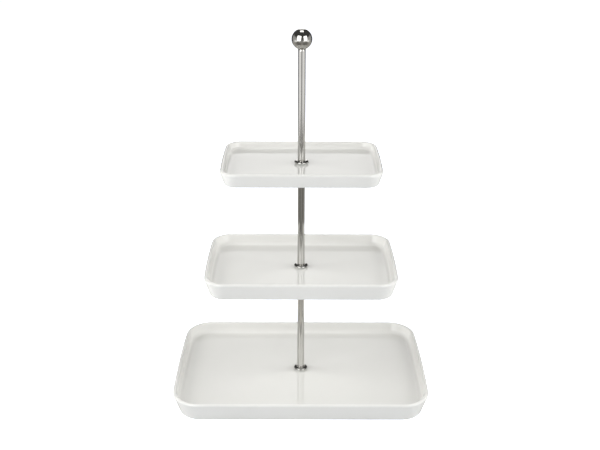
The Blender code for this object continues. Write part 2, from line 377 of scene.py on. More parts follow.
def glaze():
    """Glossy white glaze: warmer where it pools, whiter on the inner wall and rim, with bare clay on the
    foot. The whiter part is partly thinner glaze and partly painted light: shade lifted off the inner wall
    and corner, and a painted highlight along the rim.
    """
    if "Porcelain glaze" in bpy.data.materials:
        return bpy.data.materials["Porcelain glaze"]
    look = bpy.context.scene.cake_stand.trays
    material, w, shader = blank("Porcelain glaze")
    place = w.place()
    pool, thin_and_painted_light, bare = (w.attribute(key) for key in ("glaze_pool", "glaze_thin_and_painted_light", "bare_clay"))
    drift = w.group(tone_drift(), {"Place": place, "Size": 9.0, "First": (*look.glaze_colour, 1.0),
                                   "Second": (*look.glaze_drift_colour, 1.0)}).outputs["Color"]
    colour = w.blend(w.math("MULTIPLY", pool, 0.3), drift, (*look.pool_colour, 1.0))
    # Lighter over the inner fillet, inner wall and rim: partly thinner glaze, partly painted light that lifts
    # the shade there and paints a highlight on the rim.
    colour = w.blend(w.math("MULTIPLY", thin_and_painted_light, 0.6), colour, (*look.thin_glaze_and_painted_light_colour, 1.0))
    speck_cells = w.add("ShaderNodeTexVoronoi", {"Vector": place, "Scale": 95.0}).outputs["Distance"]
    speck_gate = w.span(w.noise(place, 60.0, 1.0), 0.66, 0.7)
    speck = w.math("MULTIPLY", w.span(speck_cells, 0.035, 0.02), speck_gate)
    colour = w.blend(w.math("MULTIPLY", speck, 0.35), colour, (0.36, 0.31, 0.24, 1.0))
    clay = w.group(tone_drift(), {"Place": place, "Size": 900.0, "First": (*look.clay_colour, 1.0),
                                  "Second": (0.60, 0.57, 0.51, 1.0)}).outputs["Color"]
    colour = w.blend(bare, colour, clay)
    w.tree.links.new(colour, shader.inputs["Base Color"])
    marks = w.group(wipe_marks(), {"Place": place, "Size": 26.0, "Polished": look.glaze_roughness,
                                   "Hazed": look.glaze_roughness + 0.04})
    scuffs = w.group(hairlines(), {"Place": place, "Size": 45.0, "Amount": 0.35})
    dust = w.group(resting_dust(), {"Place": place, "Size": 700.0, "Amount": 0.03}).outputs["Mask"]
    dull = w.math("ADD", marks.outputs["Roughness"], w.math("MULTIPLY", scuffs.outputs["Mask"], 0.08))
    dull = w.math("ADD", dull, dust)
    rough = w.math("MULTIPLY_ADD", bare, 0.62, w.math("MULTIPLY", dull, w.math("SUBTRACT", 1.0, bare)))
    w.tree.links.new(rough, shader.inputs["Roughness"])
    peel = w.math("MULTIPLY", w.noise(place, 210.0, 2.0), 0.2)
    waves = w.noise(place, 34.0, 2.0)
    grain = w.math("MULTIPLY", w.math("MULTIPLY", w.noise(place, 3200.0, 3.0, 0.7), bare), 2.0)
    height = w.math("ADD", w.math("ADD", peel, w.math("MULTIPLY", waves, 2.0)), grain)
    bump(w, shader, height, 0.5, 0.00002)
    shader.inputs["IOR"].default_value = 1.52
    return material


def chrome(turned_bar=False):
    """Polished plating with cloth haze, hairlines and a little dust.

    Turned bar is a little duller, and fine rings left by turning take the place of the hairlines' height.
    """
    name = "Chrome on turned bar" if turned_bar else "Polished chrome"
    if name in bpy.data.materials:
        return bpy.data.materials[name]
    look = bpy.context.scene.cake_stand.column
    polished = look.bar_roughness if turned_bar else look.chrome_roughness
    material, w, shader = blank(name)
    place = w.place()
    drift = w.group(tone_drift(), {"Place": place, "Size": 40.0, "First": (*look.chrome_colour, 1.0),
                                   "Second": (*look.chrome_drift_colour, 1.0)}).outputs["Color"]
    dust = w.group(resting_dust(), {"Place": place, "Size": 1500.0, "Amount": 0.25}).outputs["Mask"]
    scuffs = w.group(hairlines(), {"Place": place, "Size": 260.0, "Amount": 0.6})
    tarnish = w.attribute("tarnish")
    colour = w.blend(w.math("MULTIPLY", tarnish, 0.6), drift, (0.20, 0.18, 0.15, 1.0))
    colour = w.blend(dust, colour, (0.62, 0.60, 0.56, 1.0))
    w.tree.links.new(colour, shader.inputs["Base Color"])
    marks = w.group(wipe_marks(), {"Place": place, "Size": 130.0, "Polished": polished,
                                   "Hazed": polished + (0.03 if turned_bar else 0.10)})
    rough = w.math("ADD", marks.outputs["Roughness"], w.math("MULTIPLY", scuffs.outputs["Mask"], 0.15))
    rough = w.math("ADD", w.math("ADD", rough, w.math("MULTIPLY", tarnish, 0.25)), dust)
    w.tree.links.new(rough, shader.inputs["Roughness"])
    height = scuffs.outputs["Height"]
    if turned_bar:
        height = w.noise(w.stretched(place, (0.01, 0.01, 1.0)), 2600.0, 1.0)
    bump(w, shader, height, 0.2, 0.000002)
    shader.inputs["Metallic"].default_value = 1.0
    return material


def steel():
    """Plain turned steel: rings round the axis, oily stains and worn hairlines."""
    if "Turned steel" in bpy.data.materials:
        return bpy.data.materials["Turned steel"]
    look = bpy.context.scene.cake_stand.hardware
    material, w, shader = blank("Turned steel")
    place = w.place()
    across = w.add("ShaderNodeVectorMath", {0: place, 1: (1.0, 1.0, 0.0)}, operation="MULTIPLY").outputs[0]
    radius = w.add("ShaderNodeVectorMath", {0: across}, operation="LENGTH").outputs["Value"]
    height_along = w.add("ShaderNodeSeparateXYZ", {0: place}).outputs[2]
    rings = w.noise(w.add("ShaderNodeCombineXYZ", {0: radius, 2: height_along}).outputs[0], 7000.0, 3.0)
    drift = w.group(tone_drift(), {"Place": place, "Size": 160.0, "First": (*look.steel_colour, 1.0),
                                   "Second": (0.40, 0.39, 0.37, 1.0)}).outputs["Color"]
    dust = w.group(resting_dust(), {"Place": place, "Size": 1500.0, "Amount": 0.3}).outputs["Mask"]
    colour = w.blend(w.span(rings, 0.55, 0.8, 0.0, 0.3), drift, (0.30, 0.29, 0.28, 1.0))
    w.tree.links.new(w.blend(dust, colour, (0.52, 0.50, 0.46, 1.0)), shader.inputs["Base Color"])
    marks = w.group(wipe_marks(), {"Place": place, "Size": 200.0, "Polished": look.steel_roughness,
                                   "Hazed": look.steel_roughness + 0.2})
    rough = w.math("MULTIPLY_ADD", rings, 0.12, marks.outputs["Roughness"])
    w.tree.links.new(rough, shader.inputs["Roughness"])
    scuffs = w.group(hairlines(), {"Place": place, "Size": 300.0, "Amount": 0.8})
    bump(w, shader, w.math("ADD", rings, scuffs.outputs["Height"]), 0.5, 0.00001)
    shader.inputs["Metallic"].default_value = 1.0
    return material


def silicone():
    """Milky silicone: cloudy inside, slightly matt, with moulding grain and clinging dust."""
    if "Milky silicone" in bpy.data.materials:
        return bpy.data.materials["Milky silicone"]
    look = bpy.context.scene.cake_stand.hardware
    material, w, shader = blank("Milky silicone")
    place = w.place()
    cloud = w.group(tone_drift(), {"Place": place, "Size": 220.0, "First": (*look.silicone_colour, 1.0),
                                   "Second": (0.62, 0.63, 0.60, 1.0)}).outputs["Color"]
    dust = w.group(resting_dust(), {"Place": place, "Size": 2200.0, "Amount": 0.4}).outputs["Mask"]
    w.tree.links.new(w.blend(dust, cloud, (0.50, 0.48, 0.44, 1.0)), shader.inputs["Base Color"])
    marks = w.group(wipe_marks(), {"Place": place, "Size": 300.0, "Polished": 0.32, "Hazed": 0.5})
    w.tree.links.new(marks.outputs["Roughness"], shader.inputs["Roughness"])
    bump(w, shader, w.noise(place, 2600.0, 2.0), 0.4, 0.00001)
    shader.inputs["Transmission Weight"].default_value = 0.25
    shader.inputs["IOR"].default_value = 1.41
    return material


# ---------------------------------------------------------------- trays


def outline_columns(long_steps=64, short_steps=44, corner_steps=22):
    """For each point round a tray: how far along each half side its corner centre lies, and its angle.

    Four straight sides, where the centre slides and the angle stays, and four quarter turns, where the
    centre stays and the angle runs.
    """
    across, along, angle = [], [], []
    for quarter, (sx, sy) in enumerate(((1, 1), (-1, 1), (-1, -1), (1, -1))):
        turn = np.linspace(90 * quarter, 90 * (quarter + 1), corner_steps, endpoint=False)
        slide = np.linspace(1, -1, long_steps if quarter % 2 == 0 else short_steps, endpoint=False)
        across += [np.full(corner_steps, sx), slide * sx if quarter % 2 == 0 else np.full(len(slide), sx)]
        along += [np.full(corner_steps, sy), np.full(len(slide), sy) if quarter % 2 == 0 else slide * sy]
        angle += [turn, np.full(len(slide), 90.0 * (quarter + 1))]
    return np.concatenate(across), np.concatenate(along), np.radians(np.concatenate(angle))


def tray_rings(width, depth, corner, bow, inset):
    """Plan outlines (rows, columns, 2), one for each inset from the rim's outside.

    A point is its corner centre plus the corner radius at its angle; then x shrinks by bow times the
    square of y over half the depth, so that the short sides bulge a little.
    """
    across, along, angle = outline_columns()
    inset = np.asarray(inset)[:, None]
    radius = np.maximum(corner - inset, 4.0 * MM)
    x = across * (width / 2 - inset - radius) + radius * np.cos(angle)
    y = along * (depth / 2 - inset - radius) + radius * np.sin(angle)
    return np.stack([x * (1 - bow * (2 * y / depth) ** 2), y], axis=-1)


def tray_section(height, floor, under, look):
    """Half section of a tray from the floor's edge to the underside's edge, with its finish masks.

    Returns (inset, level, pool, thin, bare). Arcs and straights in turn: inner fillet, leaning wall,
    round rim, leaning wall, heel, foot, rounded inner foot, leaning wall, fillet under the floor.
    """
    lean = math.atan(look.flare)
    lean_degrees = math.degrees(lean)
    cos, sin = math.cos(lean), math.sin(lean)
    rim = look.rim_radius
    rim_centre = np.array([rim, height - rim])
    fillet = min(look.inner_fillet, 0.6 * (height - floor))
    fillet_level = floor + fillet
    inner_top = rim_centre + rim * np.array([cos, sin])
    outer_top = rim_centre - rim * np.array([cos, sin])
    fillet_inset = inner_top[0] + look.flare * (inner_top[1] - fillet_level + fillet * sin) + fillet * cos
    heel = look.heel_radius
    heel_inset = outer_top[0] + look.flare * (outer_top[1] - heel * (1 - sin)) + heel * cos
    foot_inner = heel_inset + look.foot_width
    edge = look.foot_edge
    edge_inset = foot_inner - edge * (1 - sin) / cos
    hollow = min(look.under_fillet, 0.5 * under)
    hollow_inset = foot_inner + (hollow + (under - hollow) * sin) / cos
    inner_fillet = arc((fillet_inset, fillet_level), fillet, 270, 180 + lean_degrees, 16)
    rim_arc = arc(rim_centre, rim, lean_degrees, 180 + lean_degrees, 26)
    heel_arc = arc((heel_inset, heel), heel, 180 + lean_degrees, 270, 12)
    edge_arc = arc((edge_inset, edge), edge, 270, 360 - lean_degrees, 6)
    hollow_arc = arc((hollow_inset, under - hollow), hollow, 180 - lean_degrees, 90, 8)
    # Each stretch: points, then its pool, lighter-glaze and bare-clay masks. The lighter glaze is thinner
    # glaze on the rim, and painted light on the inner fillet and wall, with a painted highlight along the
    # rim.
    stretches = [
        (inner_fillet, np.linspace(1, 0.25, 17) ** 1.5, 1, 0),
        (straight(inner_fillet[-1], rim_arc[0], 9), 0, 0.9, 0),
        (rim_arc, 0, 1 - np.linspace(0, 1, 27) ** 2, 0),
        (straight(rim_arc[-1], heel_arc[0], 14), 0, 0, 0),
        (heel_arc, 0, 0, np.linspace(0, 1, 13) ** 8),
        (straight(heel_arc[-1], edge_arc[0], 6), 0, 0, 1),
        (edge_arc, 0, 0, np.linspace(1, 0, 7)),
        (straight(edge_arc[-1], hollow_arc[0], 5), 0, 0, 0),
        (hollow_arc, np.linspace(0.2, 0.8, 9), 0, 0),
    ]
    points = np.concatenate([s[0] for s in stretches])
    masks = [np.concatenate([np.broadcast_to(s[k], len(s[0])) for s in stretches]) for k in (1, 2, 3)]
    return points[:, 0], points[:, 1], *masks


def tray(level):
    """One tray as a closed loft: floor, wall, rim, foot, underside, and the hole through its middle.

    Each row is part outline and part circle: share times the outline at its inset plus (1 - share)
    times a circle at the same bearing. The glazed floor sags and the wall sways by a few hundredths
    of a millimetre, always inwards.
    """
    look = bpy.context.scene.cake_stand.trays
    node = f"{level}_tray"
    low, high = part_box(node)
    width, depth = high.x - low.x, high.y - low.y
    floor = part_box(f"{level}_upper_gasket")[0].z - GAP - low.z
    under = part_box(f"{level}_lower_gasket")[1].z + GAP - low.z
    inset, height, pool, thin_and_painted_light, bare = tray_section(high.z - low.z, floor, under, look)
    hole, lip = look.hole_radius, look.hole_lip
    spokes = 16
    reach = np.linspace(0, 1, spokes, endpoint=False)
    bore = np.concatenate([
        arc((hole + lip, under + lip), lip, 270, 180, 5),
        straight((hole, under + lip), (hole, floor - lip), 4),
        arc((hole + lip, floor - lip), lip, 180, 90, 5)[:-1],
    ])
    ones = np.ones(spokes)
    share = np.concatenate([reach, np.ones(len(inset)), reach[::-1], np.zeros(len(bore))])
    inset = np.concatenate([inset[0] * ones, inset, inset[-1] * ones, np.full(len(bore), inset[-1])])
    height = np.concatenate([floor * ones, height, under * ones, bore[:, 1]])
    circle = np.concatenate([(hole + lip) * ones, np.zeros(len(pool)), (hole + lip) * ones, bore[:, 0]])
    pool = np.concatenate([reach**14, pool, 0.8 * reach[::-1] ** 10, np.zeros(len(bore))])
    # Lighter glaze towards the floor's edge: painted light lifting the shade in the inner corner.
    thin_and_painted_light = np.concatenate([reach**10, thin_and_painted_light, 0 * ones, np.zeros(len(bore))])
    bare = np.concatenate([0 * ones, bare, 0 * ones, np.ones(len(bore))])
    rings = tray_rings(width, depth, getattr(look, f"{level}_corner"), look.end_bow, inset)
    bearing = np.arctan2(rings[0, :, 1], rings[0, :, 0])
    sway = look.waviness * (0.5 + 0.5 * np.sin(3 * bearing + len(level)))
    lift = np.clip(height / (high.z - low.z), 0, 1)
    rings *= (1 - (lift**2)[:, None] * sway / (width / 2))[:, :, None]
    round_part = circle[:, None, None] * np.stack([np.cos(bearing), np.sin(bearing)], axis=-1)
    plan = share[:, None, None] * rings + (1 - share)[:, None, None] * round_part
    sag = np.zeros(len(share))
    sag[:spokes] = np.sin(np.pi * reach)
    level_of = low.z + height[:, None] - look.waviness * sag[:, None] * (0.7 + 0.3 * np.cos(2 * bearing))
    grid = np.concatenate([plan, level_of[:, :, None]], axis=-1)
    columns = grid.shape[1]
    masks = {key: np.repeat(values[:, None], columns, axis=1)
             for key, values in (("glaze_pool", pool), ("glaze_thin_and_painted_light", thin_and_painted_light), ("bare_clay", bare))}
    settle(lofted(f"{level}_glazed_tray", grid, glaze(), loop=True, attributes=masks), node)


# ---------------------------------------------------------------- turned pieces


def bored(mouth, depth, thread_depth, up, look):
    """Profile and thread depths of a tapped blind hole, from its mouth's edge to its drilled point.

    A countersink, then rows a tenth of the pitch apart, then the drill's cone down to the axis.
    """
    way = 1.0 if up else -1.0
    radius = look.tapped_radius
    flare = 0.35 * MM
    rows = np.arange(flare, depth, look.thread_pitch / 10)
    cone = radius * math.tan(math.radians(30))
    profile = np.concatenate([
        [(radius + flare, mouth)],
        np.column_stack([np.full(len(rows), radius), mouth + way * rows]),
        [(radius, mouth + way * depth), (0.0, mouth + way * (depth + cone))],
    ])
    fade = np.clip((rows - flare) / look.thread_pitch, 0, 1)
    fade *= np.clip((depth - rows) / look.thread_pitch, 0, 1)
    cut = np.concatenate([[0.0], -thread_depth * fade, [0.0, 0.0]])
    return profile, cut


def thread_depth(look):
    """Depth of the thread's groove: its triangle's height, 0.866 of the pitch, less the two flats."""
    return 0.866 * look.thread_pitch * 5 / 8


def rod(node):
    """A round rod with broken edges, and a tapped hole up from its foot and down from its top."""
    look = bpy.context.scene.cake_stand.hardware
    low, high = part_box(node)
    bottom, top = low.z - TOUCH, high.z + TOUCH
    radius = (high.x - low.x) / 2
    depth = look.tapped_depth
    cut = 0.85 * thread_depth(look)
    up_profile, up_cut = bored(bottom, depth, cut, True, look)
    down_profile, down_cut = bored(top, depth, cut, False, look)
    edge = 0.35 * MM
    corners = [(up_profile[0, 0], bottom), (radius, bottom), (radius, top), (down_profile[0, 0], top)]
    outside = rounded(corners, [edge, edge])[1:-1]
    middle = len(outside) // 2
    outside = np.concatenate([outside[:middle], straight(outside[middle - 1], outside[middle], 40),
                              outside[middle:]])
    profile = np.concatenate([up_profile[::-1], outside, down_profile])
    cuts = np.concatenate([up_cut[::-1], np.zeros(len(outside)), down_cut])
    ends = np.minimum(profile[:, 1] - bottom, top - profile[:, 1])
    tarnish = np.clip(1 - ends / (0.5 * MM), 0, 1)
    settle(turned(node.replace("_rod", "_polished_rod"), profile, chrome(turned_bar=True), 48,
                  thread=cuts, attributes={"tarnish": tarnish}), node)


def stud(node):
    """A length of threaded rod: chamfered ends, and rows a tenth of the pitch apart along the thread."""
    look = bpy.context.scene.cake_stand.hardware
    low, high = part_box(node)
    radius = (high.x - low.x) / 2
    heights = np.arange(low.z, high.z, look.thread_pitch / 10)
    heights = np.append(heights, high.z)
    ends = np.minimum(heights - low.z, high.z - heights)
    chamfer = thread_depth(look)
    radii = radius - np.clip(chamfer - ends, 0, chamfer)
    cuts = -np.minimum(thread_depth(look), radii - radius + thread_depth(look))
    profile = np.concatenate([[(0.0, low.z)], np.column_stack([radii, heights]), [(0.0, high.z)]])
    cuts = np.concatenate([[0.0], cuts, [0.0]])
    settle(turned(f"{node}_threaded", profile, steel(), 48, thread=cuts), node)


def ball():
    """The finial: a sphere with a small flat where it sits on the rod, and a tapped hole up from it."""
    look = bpy.context.scene.cake_stand.hardware
    low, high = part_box("ball_finial")
    radius = (high.x - low.x) / 2
    centre = high.z - radius
    seat = math.degrees(math.asin((low.z - centre) / radius))
    hole, cuts = bored(low.z, look.ball_depth, 0.85 * thread_depth(look), True, look)
    outside = arc((0.0, centre), radius, seat, 90, 60)
    outside[-1, 0] = 0.0
    profile = np.concatenate([hole[::-1], outside])
    cuts = np.concatenate([cuts[::-1], np.zeros(len(outside))])
    tarnish = np.clip(1 - (profile[:, 1] - low.z) / (0.6 * MM), 0, 1)
    settle(turned("mirror_ball_finial", profile, chrome(), 96, thread=cuts, attributes={"tarnish": tarnish}),
           "ball_finial")


def collar(level):
    """A domed flange: flat seat for the rod, elliptic shoulder, short upright edge, soft corners.

    The shoulder is the part of an ellipse from COLLAR_START degrees to 0, stretched to run from seat to edge.
    """
    look = bpy.context.scene.cake_stand.column
    node = f"{level}_collar"
    low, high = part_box(node)
    radius = (high.x - low.x) / 2
    hole = look.collar_hole
    seat = look.collar_seat
    edge = look.collar_edge
    angle = np.radians(np.linspace(COLLAR_START, 0, 16))
    out = (np.cos(angle) - math.cos(angle[0])) / (1 - math.cos(angle[0]))
    up = np.sin(angle) / math.sin(angle[0])
    shoulder = np.column_stack([seat + (radius - seat) * out, low.z + edge + (high.z - low.z - edge) * up])
    soft = 0.22 * MM
    top = rounded([(hole, low.z + edge), (hole, high.z), shoulder[0]], [soft])
    foot = rounded([shoulder[-1], (radius, low.z), (hole, low.z), (hole, low.z + edge)], [soft, soft])
    profile = np.concatenate([top, shoulder[1:], foot[1:-1]])
    near_rod = np.clip(1 - np.abs(profile[:, 0] - seat) / (0.5 * MM), 0, 1)
    near_rod *= profile[:, 1] > high.z - 0.3 * MM
    near_foot = np.clip(1 - (profile[:, 1] - low.z) / (0.3 * MM), 0, 1)
    settle(turned(f"{level}_domed_collar", profile, chrome(), 96, loop=True,
                  attributes={"tarnish": np.maximum(near_rod, 0.5 * near_foot)}), node)


def ring(node, name, hole, swell, soft, finish, groove=0.0):
    """A washer or gasket: a rectangle section with soft corners, whose outer face bulges by groove."""
    low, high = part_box(node)
    bottom, top = low.z - swell, high.z + swell
    radius = (high.x - low.x) / 2
    middle = (bottom + top) / 2
    path = rounded([(hole, middle), (hole, top), (radius, top), (radius, middle)], [soft, soft])
    back = rounded([(radius, middle), (radius, bottom), (hole, bottom), (hole, middle)], [soft, soft])
    profile = np.concatenate([path, back[1:-1]])
    outer = profile[:, 0] > radius - 1.5 * soft
    bulge = groove * ((profile[:, 1] - middle) / ((top - bottom) / 2)) ** 2
    profile[:, 0] -= np.where(outer, bulge, 0.0)
    settle(turned(name, profile, finish, 72, loop=True), node)


def screw():
    """The screw under the base: hexagonal socket, dished low head, threaded shank that points up."""
    look = bpy.context.scene.cake_stand.hardware
    low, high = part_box("base_screw")
    head = (high.x - low.x) / 2
    head_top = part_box("bottom_under_washer")[0].z - GAP + TOUCH
    shank = look.shank_radius
    half_flat = look.socket_across / 2
    floor = low.z + look.socket_depth
    socket = np.array([(0.0, floor + 0.3 * MM), (0.5 * half_flat, floor + 0.12 * MM), (half_flat, floor),
                       (half_flat, low.z + 0.2 * MM), (half_flat + 0.2 * MM, low.z)])
    outline = rounded([socket[-1], (head, low.z), (head, head_top), (shank, head_top)],
                      [0.6 * MM, 0.15 * MM])[1:]
    depth = thread_depth(look)
    heights = np.append(np.arange(head_top + 0.8 * MM, high.z, look.thread_pitch / 10), high.z)
    from_end = high.z - heights
    radii = shank - np.clip(depth - from_end, 0, depth)
    cuts = -np.minimum(depth, radii - shank + depth) * np.clip((heights - head_top) / (2 * MM), 0, 1)
    thread = np.column_stack([radii, heights])
    profile = np.concatenate([socket, outline, thread, [(0.0, high.z)]])
    all_cuts = np.concatenate([np.zeros(len(socket) + len(outline)), cuts, [0.0]])
    hexagon = np.zeros(len(profile))
    hexagon[1:len(socket)] = 1.0
    settle(turned("base_screw_socket_head", profile, steel(), 48, thread=all_cuts, hexagon=hexagon),
           "base_screw")


# ---------------------------------------------------------------- stage


def sheet(name, corner, side, up, material):
    """A flat stage panel as a grid: corner plus u times side plus v times up."""
    u, v = np.meshgrid(np.linspace(0, 1, 5), np.linspace(0, 1, 5))
    points = np.asarray(corner) + u[..., None] * np.asarray(side) + v[..., None] * np.asarray(up)
    here = np.arange(25).reshape(5, 5)
    quads = np.stack([here[:-1, :-1], here[:-1, 1:], here[1:, 1:], here[1:, :-1]], axis=-1)
    mesh = bpy.data.meshes.new(name)
    mesh.from_pydata(points.reshape(-1, 3).tolist(), [], quads.reshape(-1, 4).tolist())
    mesh.materials.append(material)
    obj = bpy.data.objects.new(name, mesh)
    bpy.context.scene.collection.objects.link(obj)
    return obj


def glow(name, colour, seen):
    """A pale matt surface with light of its own, seen times its colour, that only the camera meets."""
    material, w, shader = blank(name)
    cloud = w.noise(w.place(), 1.2, 2.0)
    tone = w.blend(w.span(cloud, 0.3, 0.7), (*colour, 1.0), (*(0.985 * np.array(colour)), 1.0))
    w.tree.links.new(tone, shader.inputs["Base Color"])
    w.tree.links.new(tone, shader.inputs["Emission Color"])
    direct = w.add("ShaderNodeLightPath").outputs["Is Camera Ray"]
    w.tree.links.new(w.math("MULTIPLY", direct, seen), shader.inputs["Emission Strength"])
    shader.inputs["Roughness"].default_value = 0.9
    shader.inputs["Specular IOR Level"].default_value = 0.0
    return material


def wedge(w, x, y, beside, inside):
    """One value inside a narrow wedge straight ahead, where -y is over three times |x|, and one beside it."""
    edge = w.math("MULTIPLY_ADD", y, 0.30, w.math("ABSOLUTE", x))
    return w.span(edge, 0.04, -0.04, beside, inside)


def reflected_table(look):
    """The table as the chrome mirrors it.

    Its light falls with the distance from the stand, and is greater beside and behind the stand than
    ahead of it, except in a narrow wedge straight ahead, where it is greater again.
    """
    material, w, shader = blank("Reflected table")
    place = w.place()
    reach = w.add("ShaderNodeVectorMath", {0: place}, operation="LENGTH").outputs["Value"]
    light = w.span(reach, 0.16, 0.34, look.table_near, look.table_far)
    light = w.math("MULTIPLY", light, w.span(w.noise(place, 5.0, 3.0), 0.25, 0.75, 0.9, 1.1))
    x, y, _ = w.add("ShaderNodeSeparateXYZ", {0: place}).outputs
    back = w.span(w.math("DIVIDE", y, reach), -0.6, 0.3, 1.0, look.table_back)
    light = w.math("MULTIPLY", w.math("MULTIPLY", light, back), wedge(w, x, y, 1.0, 1.5))
    w.tree.links.new(light, shader.inputs["Emission Strength"])
    shader.inputs["Emission Color"].default_value = (1.0, 0.97, 0.90, 1.0)
    shader.inputs["Base Color"].default_value = (0.02, 0.02, 0.02, 1.0)
    shader.inputs["Specular IOR Level"].default_value = 0.0
    return material


def softbox(name, bearing, rise, distance, size, radiance, seen, lights, aim):
    """An area light at a bearing from the front and a rise above the horizon, facing the aim point."""
    light = bpy.data.lights.new(name, "AREA")
    light.shape = "RECTANGLE"
    light.size, light.size_y = size
    light.energy = radiance * math.pi * size[0] * size[1]
    obj = bpy.data.objects.new(name, light)
    a, e = math.radians(bearing), math.radians(rise)
    way = Vector((math.sin(a) * math.cos(e), -math.cos(a) * math.cos(e), math.sin(e)))
    obj.location = aim + distance * way
    obj.rotation_euler = way.to_track_quat("Z", "Y").to_euler()
    obj.visible_camera = False
    obj.visible_glossy = seen
    obj.visible_diffuse = lights
    bpy.context.scene.collection.objects.link(obj)


def surroundings(look):
    """World: white to the camera, and for reflections a studio of a few bands; it lights nothing.

    The studio is dark overhead and grey at the sides up to a low height. Straight ahead of the stand it is
    dimmer. Below the horizon a white sweep lies ahead and beside, and the backdrop straight behind is bright.
    """
    world = bpy.data.worlds.new("Studio")
    world.use_nodes = True
    bpy.context.scene.world = world
    tree = world.node_tree
    w = Wiring(tree)
    ground = tree.nodes["Background"]
    ray = w.add("ShaderNodeLightPath").outputs
    x, y, z = w.add("ShaderNodeSeparateXYZ", {0: w.add("ShaderNodeTexCoord").outputs["Generated"]}).outputs
    low = w.math("MULTIPLY", w.span(z, 0.45, 0.22), w.span(y, 0.70, 0.40))
    beneath = w.math("MULTIPLY", w.span(z, -0.04, -0.12), w.span(y, 0.2, -0.2))
    sides = w.math("MULTIPLY_ADD", beneath, look.sweep - look.room_side, look.room_side)
    ahead = w.math("MULTIPLY_ADD", beneath, look.sweep_ahead - look.room_front, look.room_front)
    change = w.math("SUBTRACT", ahead, sides)
    walls = w.math("ADD", sides, w.math("MULTIPLY", wedge(w, x, y, 0.0, 1.0), change))
    mirror = w.math("MULTIPLY_ADD", low, w.math("SUBTRACT", walls, look.room_top), look.room_top)
    off_centre = w.math("MULTIPLY_ADD", y, 0.20, w.math("MULTIPLY", w.math("ABSOLUTE", x), -1.0))
    backdrop = w.math("MULTIPLY", w.span(off_centre, -0.02, 0.03), w.span(z, 0.68, 0.60))
    backdrop = w.math("MULTIPLY", backdrop, w.span(y, 0.0, 0.3))
    mirror = w.math("MULTIPLY_ADD", backdrop, w.math("SUBTRACT", look.room_back, mirror), mirror)
    strength = w.math("MULTIPLY", ray["Is Glossy Ray"], mirror)
    camera = ray["Is Camera Ray"]
    strength = w.math("MULTIPLY_ADD", camera, w.math("SUBTRACT", 1.0, strength), strength)
    tree.links.new(strength, ground.inputs["Strength"])
    ground.inputs["Color"].default_value = (1.0, 0.995, 0.985, 1.0)


def camera(look):
    """The camera: a distance ahead of the column, a height above the table, tilted down."""
    data = bpy.data.cameras.new("Camera")
    data.sensor_width = 36.0
    data.lens = look.lens
    data.clip_end = 50.0
    obj = bpy.data.objects.new("Camera", data)
    turn = look.camera_bearing
    ahead = Vector((math.sin(turn), -math.cos(turn), 0.0))
    beside = Vector((math.cos(turn), math.sin(turn), 0.0))
    obj.location = look.camera_distance * ahead + look.camera_aside * beside
    obj.location.z += look.camera_height
    aimed = Euler((math.pi / 2 - look.camera_tilt, 0.0, turn)).to_matrix()
    obj.rotation_euler = (aimed @ Euler((0.0, 0.0, look.camera_roll)).to_matrix()).to_euler()
    bpy.context.scene.collection.objects.link(obj)
    bpy.context.scene.camera = obj


# ---------------------------------------------------------------- settings


def length(name, default, description):
    return FloatProperty(name=name, description=description, default=default, min=0.0, subtype="DISTANCE",
                         unit="LENGTH", precision=5)


def paint(name, default, description):
    return FloatVectorProperty(name=name, description=description, default=default, size=3, min=0.0, max=1.0,
                               subtype="COLOR")


def factor(name, default, description, low=0.0, high=10.0):
    return FloatProperty(name=name, description=description, default=default, min=low, max=high)


class TraySettings(bpy.types.PropertyGroup):
    """Shape and glaze of the trays."""

    rim_radius: length("Rim radius", 2.2 * MM, "Half the thickness of the wall at its round rim")
    flare: factor("Flare", 0.33, "How far the wall leans in for each unit that it comes down")
    bottom_corner: length("Bottom corner", 30.0 * MM, "Corner radius of the bottom tray in plan")
    middle_corner: length("Middle corner", 22.0 * MM, "Corner radius of the middle tray in plan")
    top_corner: length("Top corner", 17.0 * MM, "Corner radius of the top tray in plan")
    end_bow: factor("End bow", 0.018, "How much the short sides bulge, as a part of half the width")
    inner_fillet: length("Inner fillet", 6.0 * MM, "Radius where the wall meets the floor inside")
    heel_radius: length("Heel radius", 3.0 * MM, "Radius where the wall meets the foot outside")
    foot_width: length("Foot width", 3.5 * MM, "Width of the flat foot ring")
    foot_edge: length("Foot edge", 0.7 * MM, "Rounding of the foot ring's inner edge")
    under_fillet: length("Underside fillet", 2.2 * MM, "Radius where the foot ring meets the underside")
    hole_radius: length("Hole radius", 5.0 * MM, "Radius of the hole for the column")
    hole_lip: length("Hole lip", 0.6 * MM, "Rounding of the hole's two edges")
    waviness: length("Waviness", 0.12 * MM, "How far the glazed faces stray from true")
    glaze_colour: paint("Glaze", (0.685, 0.680, 0.650), "Glaze where it is even")
    glaze_drift_colour: paint("Glaze drift", (0.668, 0.665, 0.632), "Glaze where it is a little warmer")
    pool_colour: paint("Pooled glaze", (0.680, 0.670, 0.615), "Glaze where it lies thick in a corner")
    # Lighter than the glaze: thinner glaze on the rim, and painted light over the inner wall and corner, with
    # a painted highlight along the rim.
    thin_glaze_and_painted_light_colour: paint("Thin glaze and painted light", (0.790, 0.785, 0.755), "Glaze where it thins on the wall and the rim")
    clay_colour: paint("Bare clay", (0.700, 0.670, 0.610), "Unglazed clay of the foot ring and the hole")
    glaze_roughness: factor("Glaze roughness", 0.04, "Roughness of clean glaze", 0.0, 1.0)


